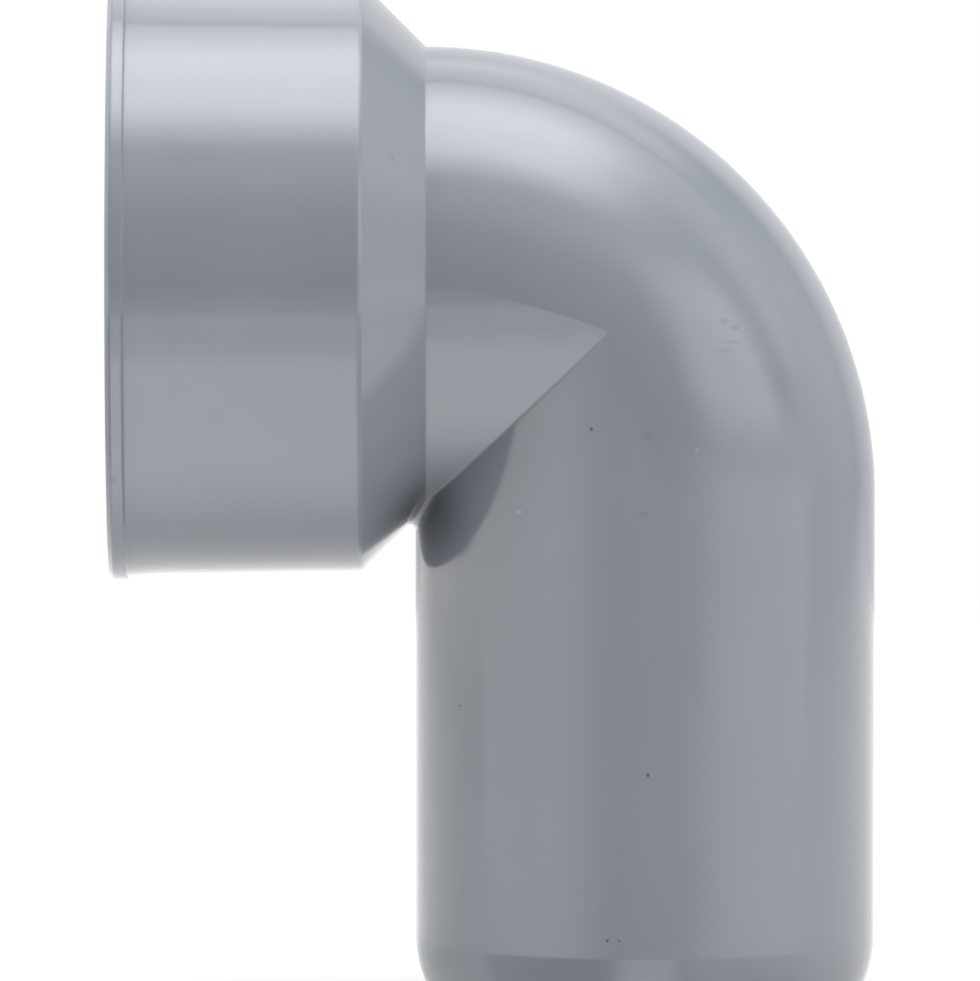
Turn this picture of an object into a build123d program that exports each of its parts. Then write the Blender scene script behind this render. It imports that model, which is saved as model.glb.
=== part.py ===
from build123d import *
from math import radians, tan
import os

# Trap elbow: a square waste bend moulded in one piece, for a washbasin or sink trap.
# The spigot points down and the origin is the centre of its end face. +Z runs up the
# spigot's axis, and the socket opens towards -X. All sizes are millimetres.

# Driving dimensions: the two legs and the bend between them
spigot_diameter = 40.0  # outside of both legs
pipe_wall = 3.0
spigot_reach = 63.0  # from the spigot's end face up to the socket's axis
bend_radius = 19.1  # centreline radius of the rounded outer corner
corner_step = 0.01  # the rounded corner stands this far proud, for a clean seam with the legs
bore_flat_angle = 15.0  # degrees; the bore's rounded corner is turned from a section with flats
crotch_radius = 0.5  # blend in the sharp inner corner

# Driving dimensions: the spigot's rounded end
lead_in_length = 5.4
spigot_lip = 1.4  # wall that is left at the end face

# Driving dimensions: the cone and the socket
cone_inset = 0.9  # the cone starts this far inside the spigot's outside
cone_angle = 45.0  # degrees, from the leg up to the socket
socket_bore_diameter = 46.0  # takes a rubber sleeve
socket_wall = 2.6  # where the cone ends
socket_length = 21.9  # outside, from the cone to the mouth
socket_draft = 0.74  # degrees, the outside widens towards the mouth
socket_edge_bevel = 0.2  # where the cone ends
flare_length = 3.4  # last stretch before the rim, which widens a little more
flare_height = 0.17
mouth_bevel_length = 1.4
mouth_bevel_depth = 0.7

# Driving dimensions: the rim round the mouth
rim_width = 1.5
rim_height = 0.33
rim_edge_bevel = 0.4

# Derived sizes
leg_radius = spigot_diameter / 2
bore_radius = leg_radius - pipe_wall
spigot_end_radius = bore_radius + spigot_lip
socket_bore_radius = socket_bore_diameter / 2
socket_root_radius = socket_bore_radius + socket_wall
cone_slope = tan(radians(cone_angle))

# Distances from the spigot's axis, out along the socket's axis
cone_start = leg_radius - cone_inset
socket_root = cone_start + (socket_root_radius - leg_radius) / cone_slope
socket_mouth = socket_root + socket_length
rim_back = socket_mouth - rim_width
flare_start = rim_back - flare_length
inner_cone_start = cone_start + pipe_wall * tan(radians(cone_angle / 2))
socket_floor = inner_cone_start + (socket_bore_radius - bore_radius) / cone_slope

# Outside radii of the socket at the flare and the rim
draft_slope = tan(radians(socket_draft))
flare_start_radius = socket_root_radius + (flare_start - socket_root) * draft_slope
flare_end_radius = socket_root_radius + (rim_back - socket_root) * draft_slope + flare_height
rim_radius = flare_end_radius + rim_height

# Planes and axes: the two legs run from the bend's centre line, which lies along Y
leg_start = spigot_reach - bend_radius
bend_centre = (-bend_radius, 0, leg_start)
bend_axis = Axis(bend_centre, (0, 1, 0))
socket_axis = Axis((0, 0, spigot_reach), (-1, 0, 0))
socket_plane = Plane(origin=(0, 0, spigot_reach), x_dir=(-1, 0, 0), z_dir=(0, 1, 0))
leg_plane = Plane(origin=(-bend_radius, 0, spigot_reach), z_dir=(-1, 0, 0))
mitre_plane = Plane(origin=bend_centre, z_dir=(1, 0, -1))
turning_plane = Plane(origin=bend_centre, x_dir=(0, 0, 1), z_dir=(1, 0, 0))


def mitred_corner(tube_radius: float, turned_section: Sketch) -> Part:
    """Two round legs mitred at 45 degrees, with the outer corner turned to an arc."""
    waste_size = 2 * (bend_radius + tube_radius)
    with BuildPart() as corner:
        with BuildSketch(Plane.XY.offset(leg_start)):
            Circle(tube_radius)
        extrude(amount=bend_radius + tube_radius)
        split(bisect_by=mitre_plane, keep=Keep.TOP)
        mirror(about=mitre_plane)
        with BuildSketch(turning_plane):
            with Locations((bend_radius, 0)):
                Rectangle(waste_size, waste_size, align=(Align.MIN, Align.CENTER))
                add(turned_section, mode=Mode.SUBTRACT)
        revolve(axis=bend_axis, revolution_arc=90, mode=Mode.SUBTRACT)
    return corner.part


outer_section = Circle(leg_radius + corner_step)
bore_flats = round(360 / bore_flat_angle)
bore_section = RegularPolygon(bore_radius + corner_step, bore_flats, major_radius=False)
outer_corner = mitred_corner(leg_radius, outer_section)
inner_corner = mitred_corner(bore_radius, bore_section)

# The waterway: plain bore, mitred corner, inner cone, and the socket's bore with its bevel
with BuildPart() as waterway:
    with BuildSketch(Plane.XY):
        Circle(bore_radius)
    extrude(amount=leg_start)
    add(inner_corner)
    with BuildSketch(socket_plane):
        with BuildLine():
            Polyline(
                (bend_radius, 0),
                (bend_radius, bore_radius),
                (inner_cone_start, bore_radius),
                (socket_floor, socket_bore_radius),
                (socket_mouth - mouth_bevel_length, socket_bore_radius),
                (socket_mouth, socket_bore_radius + mouth_bevel_depth),
                (socket_mouth, 0),
                close=True,
            )
        make_face()
    revolve(axis=socket_axis)

# The elbow: one moulded body
with BuildPart() as elbow_body:
    add(outer_corner)

    # Spigot, rounded towards its end face
    with BuildSketch(Plane.XZ):
        with BuildLine():
            Polyline(
                (leg_radius, lead_in_length),
                (leg_radius, leg_start),
                (0, leg_start),
                (0, 0),
                (spigot_end_radius, 0),
            )
            TangentArc(
                (leg_radius, lead_in_length), (spigot_end_radius, 0), tangent=(0, -1)
            )
        make_face()
    revolve(axis=Axis.Z)

    # Leg, cone, socket and rim
    with BuildSketch(leg_plane):
        Circle(leg_radius)
    extrude(amount=socket_root - bend_radius)
    with BuildSketch(socket_plane):
        with BuildLine():
            Polyline(
                (flare_start, flare_start_radius),
                (socket_root, socket_root_radius),
                (cone_start, leg_radius),
                (cone_start, 0),
                (socket_mouth, 0),
                (socket_mouth, rim_radius),
                (rim_back, rim_radius),
                (rim_back, flare_end_radius),
            )
            TangentArc(
                (flare_start, flare_start_radius),
                (rim_back, flare_end_radius),
                tangent=(1, draft_slope),
            )
        make_face()
    revolve(axis=socket_axis)

    # Softened edges: the end of the cone and the rim, picked at their lowest points
    socket_edge = (-socket_root, 0, spigot_reach - socket_root_radius)
    chamfer(elbow_body.edges().sort_by_distance(socket_edge)[0], length=socket_edge_bevel)
    rim_edge = (-socket_mouth, 0, spigot_reach - rim_radius)
    chamfer(elbow_body.edges().sort_by_distance(rim_edge)[0], length=rim_edge_bevel)

    # Inner corner, where the cone runs into the spigot
    crotch = (-leg_radius, 0, spigot_reach - leg_radius - cone_inset * cone_slope)
    fillet(elbow_body.edges().sort_by_distance(crotch)[0], radius=crotch_radius)

    add(waterway.part, mode=Mode.SUBTRACT)

elbow_body.part.label = "elbow_body"

os.makedirs("parts", exist_ok=True)
export_step(elbow_body.part, "parts/elbow_body.step")
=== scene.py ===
import math

import bmesh
import bpy
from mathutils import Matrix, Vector

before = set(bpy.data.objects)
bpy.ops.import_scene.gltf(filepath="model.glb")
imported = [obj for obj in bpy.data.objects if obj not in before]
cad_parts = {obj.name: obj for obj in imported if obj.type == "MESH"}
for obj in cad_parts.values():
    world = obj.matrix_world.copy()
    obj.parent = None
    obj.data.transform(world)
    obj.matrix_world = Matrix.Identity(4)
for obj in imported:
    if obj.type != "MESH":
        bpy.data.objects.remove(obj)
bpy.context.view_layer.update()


# Elbow body
# A square waste bend of grey PVC-U, injection moulded in one piece: the spigot, the bend, the
# cone, the socket and its rim. The polished mould leaves it glossy, with faint waves where the
# plastic shrank over its thick wall.

MM = 0.001
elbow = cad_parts["elbow_body"]


def linear(hex_colour):
    """An sRGB hex colour as linear RGBA."""
    channels = [int(hex_colour[i:i + 2], 16) / 255 for i in (1, 3, 5)]
    return [c / 12.92 if c <= 0.04045 else ((c + 0.055) / 1.055) ** 2.4 for c in channels] + [1.0]


def add(tree, kind, settings=None, **links):
    """Adds a node with its settings and links.

    A link is another node, one of its outputs, or a plain value. It is named for its input, with
    an underscore for a space, or i and the input's number.
    """
    node = tree.nodes.new("ShaderNode" + kind)
    for name, value in (settings or {}).items():
        setattr(node, name, value)
    for name, value in links.items():
        key = int(name[1:]) if name[0] == "i" and name[1:].isdigit() else name.replace("_", " ")
        socket = node.inputs[key]
        if isinstance(value, bpy.types.Node):
            value = value.outputs[0]
        if isinstance(value, bpy.types.NodeSocket):
            tree.links.new(value, socket)
        else:
            socket.default_value = value
    return node


# Moulded PVC-U: an even cool grey, glossy from the polished mould, with soft reflections
pvc = bpy.data.materials.new("grey_pvc_u_moulded")
pvc.use_nodes = True
tree = pvc.node_tree
tree.nodes.clear()
place = add(tree, "TexCoord").outputs["Object"]

# Pigment: a little cloudy where the melt flowed
cloud_size = 22 * MM
pale_grey, dark_grey = linear("#868b93"), linear("#82878f")
cloud = add(tree, "TexNoise", Vector=place, Scale=1 / cloud_size, Detail=3.0, Roughness=0.5)
cloudy = add(tree, "MapRange", Value=cloud.outputs["Fac"], From_Min=0.32, From_Max=0.68)
pigment = add(
    tree, "Mix", {"data_type": "RGBA"},
    i0=cloudy.outputs["Result"], i6=dark_grey, i7=pale_grey,
).outputs[2]

# Painted shade: the colour darkens toward the sharp inner corner, where the shade falls
corner_x = -19.6 * MM
corner_z = 43.0 * MM
corner_shade_reach = 5.8 * MM
corner_shade_strength = 0.42
corner_shade_colour = linear("#33383a")
corner_axis = add(tree, "CombineXYZ", X=corner_x, Z=corner_z)
flat_place = add(tree, "VectorMath", {"operation": "MULTIPLY"}, i0=place, i1=(1, 0, 1))
from_corner = add(tree, "VectorMath", {"operation": "DISTANCE"}, i0=flat_place, i1=corner_axis)
corner_shade = add(
    tree, "MapRange", {"interpolation_type": "SMOOTHSTEP"},
    Value=from_corner.outputs["Value"], From_Min=0.5 * MM, From_Max=corner_shade_reach,
    To_Min=corner_shade_strength, To_Max=0.0,
)
# Mixes the painted shade of the inner corner into the pigment
pigment = add(
    tree, "Mix", {"data_type": "RGBA"},
    i0=corner_shade.outputs["Result"], i6=pigment, i7=corner_shade_colour,
).outputs[2]

# Marks: black grains of scorched plastic moulded in, then dark and pale scuffs from handling.
# Each is a place and its radii in millimetres, its strength and its colour.
soot, dirt, dust = (linear(colour) for colour in ("#2c2f33", "#5d6368", "#b9bec2"))
marks = (
    ((-4.8, -19.4, 51.3), (0.17, 0.17, 0.17), 0.75, soot),
    ((0.1, -20.0, 21.4), (0.17, 0.17, 0.17), 0.75, soot),
    ((-16.1, -11.8, 26.6), (0.13, 0.13, 0.13), 0.7, soot),
    ((-3.4, -19.7, 7.0), (0.15, 0.15, 0.15), 0.7, soot),
    ((-2.4, -19.9, 7.0), (0.13, 0.13, 0.13), 0.6, soot),
    ((6.8, -16.5, 60.4), (0.5, 0.6, 0.3), 0.3, dirt),
    ((7.6, -16.0, 59.8), (0.5, 0.6, 0.3), 0.3, dirt),
    ((7.2, -16.3, 58.6), (1.3, 1.0, 0.2), 0.2, dirt),
    ((6.6, -16.8, 57.9), (1.1, 1.0, 0.2), 0.2, dirt),
    ((0.0, -19.9, 50.7), (0.6, 0.6, 0.3), 0.15, dirt),
    ((-0.4, -20.0, 44.0), (0.5, 0.6, 0.3), 0.15, dirt),
    ((-11.0, -16.7, 43.9), (0.3, 0.4, 0.12), 0.3, dust),
    ((6.0, -19.1, 51.4), (0.2, 0.3, 0.15), 0.3, dust),
    ((4.3, -19.5, 49.5), (0.2, 0.3, 0.15), 0.25, dust),
    ((-2.3, -16.9, 70.1), (0.6, 0.8, 0.2), 0.15, dust),
    ((-21.9, -19.8, 74.8), (0.4, 0.5, 0.5), 0.2, dirt),
    ((-45.9, -21.0, 47.2), (0.3, 0.5, 0.6), 0.25, dirt),
)
mark_core = 0.4  # of its radius, where it starts to fade
mark_fade = 1.3  # of its radius, where it is gone
for mark_place, radii, strength, colour in marks:
    centre = Vector(mark_place) * MM
    offset = add(tree, "VectorMath", {"operation": "SUBTRACT"}, i0=place, i1=centre)
    scaled = add(tree, "VectorMath", {"operation": "DIVIDE"}, i0=offset, i1=Vector(radii) * MM)
    from_centre = add(tree, "VectorMath", {"operation": "LENGTH"}, i0=scaled)
    mark = add(
        tree, "MapRange", {"interpolation_type": "SMOOTHSTEP"},
        Value=from_centre.outputs["Value"], From_Min=mark_core, From_Max=mark_fade,
        To_Min=strength, To_Max=0.0,
    )
    pigment = add(
        tree, "Mix", {"data_type": "RGBA"},
        i0=mark.outputs["Result"], i6=pigment, i7=colour,
    ).outputs[2]

# Gloss: a little duller in patches, as handling leaves it
patch_size = 9 * MM
patch = add(tree, "TexNoise", Vector=place, Scale=1 / patch_size, Detail=5.0, Roughness=0.6)
gloss = add(
    tree, "MapRange",
    Value=patch.outputs["Fac"], From_Min=0.35, From_Max=0.7, To_Min=0.11, To_Max=0.15,
)

# Surface: edges that the mould leaves softly rounded, long shallow waves from shrinkage, and a
# very fine grain
edge_radius = 0.35 * MM
edge = add(tree, "Bevel", {"samples": 6}, Radius=edge_radius)
wave_size = 16 * MM
wave_depth = 0.1 * MM
wave = add(tree, "TexNoise", Vector=place, Scale=1 / wave_size, Detail=1.0, Roughness=0.4)
wave_bump = add(
    tree, "Bump",
    Height=wave.outputs["Fac"], Strength=0.25, Distance=wave_depth, Normal=edge.outputs["Normal"],
)
grain_size = 0.7 * MM
grain_depth = 0.006 * MM
grain = add(tree, "TexNoise", Vector=place, Scale=1 / grain_size, Detail=2.0, Roughness=0.6)
grain_bump = add(
    tree, "Bump",
    Height=grain.outputs["Fac"], Strength=0.10, Distance=grain_depth,
    Normal=wave_bump.outputs["Normal"],
)

shader = add(
    tree, "BsdfPrincipled",
    Base_Color=pigment, Roughness=gloss.outputs["Result"], IOR=1.53,
    Normal=grain_bump.outputs["Normal"],
)
add(tree, "OutputMaterial", Surface=shader.outputs["BSDF"])
for material_slot in elbow.material_slots:
    material_slot.material = pvc


# Camera
# A long lens at the height of the bend, looking along +Y and a little down.

scene = bpy.context.scene
look_at = Vector((-13.52, 0, 44.3)) * MM
camera_distance = 1.7
camera_elevation = math.radians(5.0)
seen_width = 85.4 * MM
camera_data = bpy.data.cameras.new("camera")
camera_data.sensor_fit = "HORIZONTAL"
camera_data.sensor_width = 36  # millimetres
camera_data.lens = camera_data.sensor_width * camera_distance / seen_width
camera_data.clip_start = 0.05
camera_data.clip_end = 20
camera = bpy.data.objects.new("camera", camera_data)
scene.collection.objects.link(camera)
to_camera = Vector((0, -math.cos(camera_elevation), math.sin(camera_elevation)))
camera.location = look_at + to_camera * camera_distance
camera.rotation_euler = (-to_camera).to_track_quat("-Z", "Y").to_euler()
scene.camera = camera


# Floor
# A sheet of white paper under the part. It is white to the camera and in the gloss, and keeps
# the part's shadow. In front of the part, only the camera sees it, so that the low light
# there reaches the part.

floor_half_size = 0.35
floor_mesh = bmesh.new()
bmesh.ops.create_grid(floor_mesh, x_segments=1, y_segments=1, size=floor_half_size)
floor_data = bpy.data.meshes.new("floor")
floor_mesh.to_mesh(floor_data)
floor_mesh.free()
floor = bpy.data.objects.new("floor", floor_data)
scene.collection.objects.link(floor)

paper = bpy.data.materials.new("white_paper")
paper.use_nodes = True
tree = paper.node_tree
tree.nodes.clear()
path = add(tree, "LightPath")
sheet = add(tree, "BsdfDiffuse", Color=linear("#a4a4a2"))
seen = path.outputs["Is Camera Ray"]
for ray in ("Is Glossy Ray", "Is Transmission Ray"):
    seen = add(tree, "Math", {"operation": "MAXIMUM"}, i0=seen, i1=path.outputs[ray]).outputs[0]

# Short of white by what the studio's light adds, so that the open floor is white and the shadow
# shows
glow = add(tree, "Emission", Color=linear("#d3d3d3"), Strength=seen)
white = add(tree, "AddShader", i0=sheet.outputs[0], i1=glow.outputs[0])
paper_place = add(tree, "SeparateXYZ", Vector=add(tree, "TexCoord").outputs["Object"])
front_starts = 5 * MM
front_full = -45 * MM
in_front = add(
    tree, "MapRange", {"interpolation_type": "SMOOTHSTEP"},
    Value=paper_place.outputs["Y"], From_Min=front_starts, From_Max=front_full,
)
unseen = add(
    tree, "Math", {"operation": "SUBTRACT"},
    i0=in_front.outputs["Result"], i1=path.outputs["Is Camera Ray"],
)
clear = add(tree, "BsdfTransparent")
both = add(tree, "MixShader", i0=unseen.outputs[0], i1=white.outputs[0], i2=clear.outputs[0])
add(tree, "OutputMaterial", Surface=both.outputs[0])
floor_data.materials.append(paper)


# Studio light
# A soft box overhead, pale walls at both sides and behind, a window, and pale cards low in front
# of a dark room. The world carries them all, by the direction that a ray leaves in.

world = bpy.data.worlds.new("studio")
scene.world = world
world.use_nodes = True
tree = world.node_tree
tree.nodes.clear()
direction = add(tree, "SeparateXYZ", Vector=add(tree, "TexCoord").outputs["Generated"])
x, y, z = (direction.outputs[axis] for axis in "XYZ")

# Where the ray meets a ceiling one unit up
up = add(tree, "Math", {"operation": "MAXIMUM"}, i0=z, i1=0.001)
across = add(tree, "Math", {"operation": "DIVIDE"}, i0=x, i1=up.outputs[0])
along = add(tree, "Math", {"operation": "DIVIDE"}, i0=y, i1=up.outputs[0])

# Each light is a level and the soft edges that bound it, from none to full. White is level 1.
lights = (
    # Soft box
    (2.0, (
        (along, -0.72, -0.58), (along, 0.59, 0.53),
        (across, -0.6, -0.1), (across, 1.1, 0.4), (z, 0.0, 0.1),
    )),
    # Its brighter middle
    (4.2, (
        (along, -0.64, -0.24), (along, 0.55, 0.05),
        (across, -0.5, 0.0), (across, 0.9, 0.3), (z, 0.0, 0.1),
    )),
    # Its spill on the ceiling, in front and to the right
    (0.8, (
        (along, -2.0, -0.7), (along, -0.58, -0.72),
        (across, -0.6, 0.2), (across, 1.4, 0.6), (z, 0.0, 0.1),
    )),
    (0.4, (
        (along, -1.5, -0.7), (along, 0.59, 0.53),
        (across, 0.6, 1.2), (across, 4.0, 2.5), (z, 0.0, 0.1),
    )),
    # Left wall, and the foot of the right wall
    (1.0, ((x, -0.35, -0.75), (y, 0.1, -0.1), (z, -0.20, -0.10))),
    (1.0, ((x, 0.35, 0.75), (y, 0.1, -0.1), (z, -0.20, -0.10), (z, 0.30, 0.10))),
    # Window high in front on the right
    (2.2, ((x, 0.45, 0.70), (y, -0.10, -0.35), (z, 0.05, 0.25), (z, 0.70, 0.45))),
    # Walls behind, right and left, then the far wall and the ceiling above it
    (0.9, ((y, -0.1, 0.1), (x, 0.5, 0.9))),
    (2.2, ((y, -0.1, 0.1), (x, -0.3, -0.8))),
    (0.9, ((y, 0.65, 0.85), (z, -0.3, -0.2))),
    (1.3, ((along, 0.53, 0.70), (z, 0.50, 0.70), (x, 0.65, 0.45), (x, -0.4, -0.2))),
    # Cards low in front: middle and right, and the middle's lower half
    (1.7, ((z, -0.11, -0.22), (x, -0.35, -0.15), (x, 0.35, 0.15))),
    (0.7, ((z, -0.12, -0.22), (x, 0.2, 0.5))),
    (1.2, ((z, -0.36, -0.55), (x, -0.35, -0.15), (x, 0.35, 0.15))),
    # Belt at the height of the camera: left, middle and right
    (1.2, ((z, -0.22, -0.12), (z, 0.05, -0.05), (y, 0.1, -0.1), (x, -0.2, -0.5))),
    (0.8, (
        (z, -0.15, -0.09), (z, -0.05, -0.085),
        (y, 0.1, -0.1), (x, -0.5, -0.2), (x, 0.5, 0.2),
    )),
    (0.8, ((z, -0.22, -0.12), (z, 0.05, -0.05), (y, 0.1, -0.1), (x, 0.2, 0.5))),
)
light = 0.0
for level, edges in lights:
    part = level
    for value, start, end in edges:
        soft_edge = add(
            tree, "MapRange", {"interpolation_type": "SMOOTHSTEP"},
            Value=value, From_Min=start, From_Max=end,
        ).outputs["Result"]
        part = add(tree, "Math", {"operation": "MULTIPLY"}, i0=part, i1=soft_edge).outputs[0]
    light = add(tree, "Math", {"operation": "ADD"}, i0=light, i1=part).outputs[0]

# To the camera, the studio is plain white past the floor
path = add(tree, "LightPath")
studio = add(tree, "Background", Color=(1, 1, 1, 1), Strength=light)
plain = add(tree, "Background", Color=(1, 1, 1, 1), Strength=1.0)
chosen = add(
    tree, "MixShader",
    i0=path.outputs["Is Camera Ray"], i1=studio.outputs[0], i2=plain.outputs[0],
)
add(tree, "OutputWorld", Surface=chosen.outputs[0])

scene.view_settings.view_transform = "Standard"
